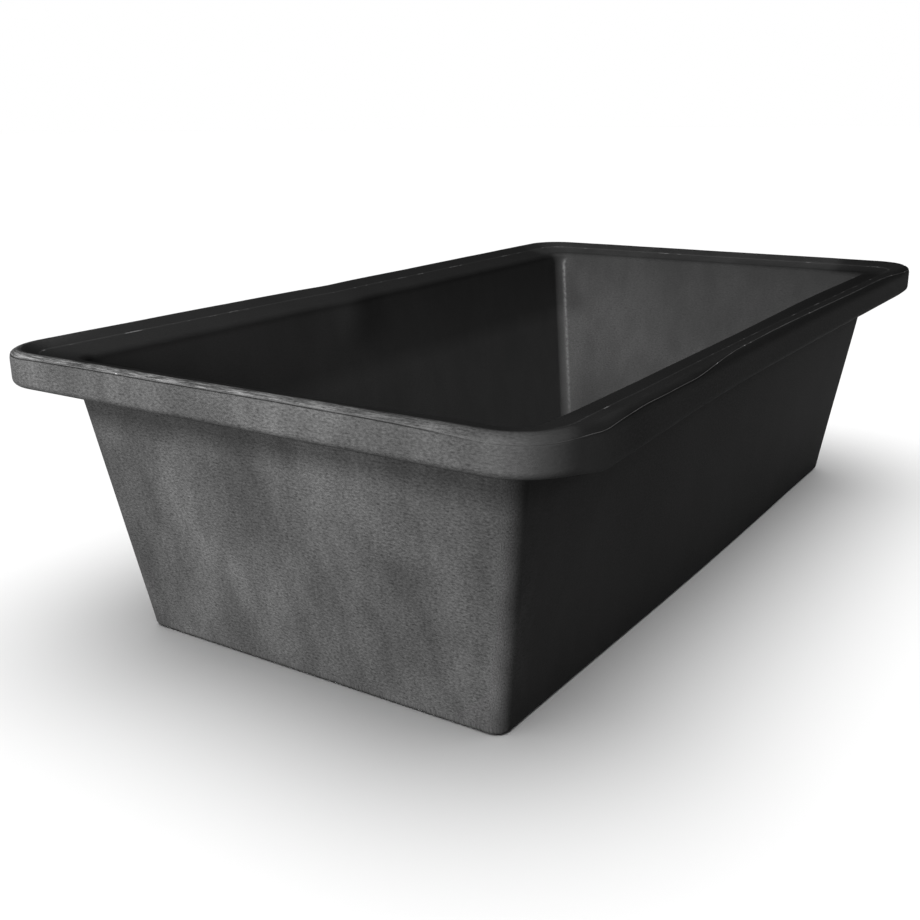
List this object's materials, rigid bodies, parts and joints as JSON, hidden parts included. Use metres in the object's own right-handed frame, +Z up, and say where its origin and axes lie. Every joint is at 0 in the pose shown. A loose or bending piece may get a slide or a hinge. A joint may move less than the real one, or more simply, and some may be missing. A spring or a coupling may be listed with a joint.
{
  "type": "mortar mixing tub",
  "caption": "Rectangular black plastic tub with sloping walls, a flat floor and a wide hollow ledge rim, for mixing and carrying mortar.",
  "frame": {"origin": "centre of the tub's length and width on the plane of its underside", "axes": "+X runs along the tub towards its rear end, +Y to its left side, +Z up out of the open mouth"},
  "size_m": [1.25, 0.7, 0.342],
  "materials": {
    "black_polyethylene": "satin black moulded polyethylene with a fine mottled grain",
    "trimmed_flash": "thin flash trimmed with a knife, slightly whitened where it was cut"
  },
  "bodies": {
    "root": {"floor_pan": "black_polyethylene", "end_wall_front": "black_polyethylene", "end_wall_rear": "black_polyethylene", "side_wall_left": "black_polyethylene", "side_wall_right": "black_polyethylene", "corner_front_left": "black_polyethylene", "corner_front_right": "black_polyethylene", "corner_rear_left": "black_polyethylene", "corner_rear_right": "black_polyethylene", "rim_front": "black_polyethylene", "rim_rear": "black_polyethylene", "rim_left": "black_polyethylene", "rim_right": "black_polyethylene", "parting_line": "trimmed_flash"}
  },
  "joints": []
}
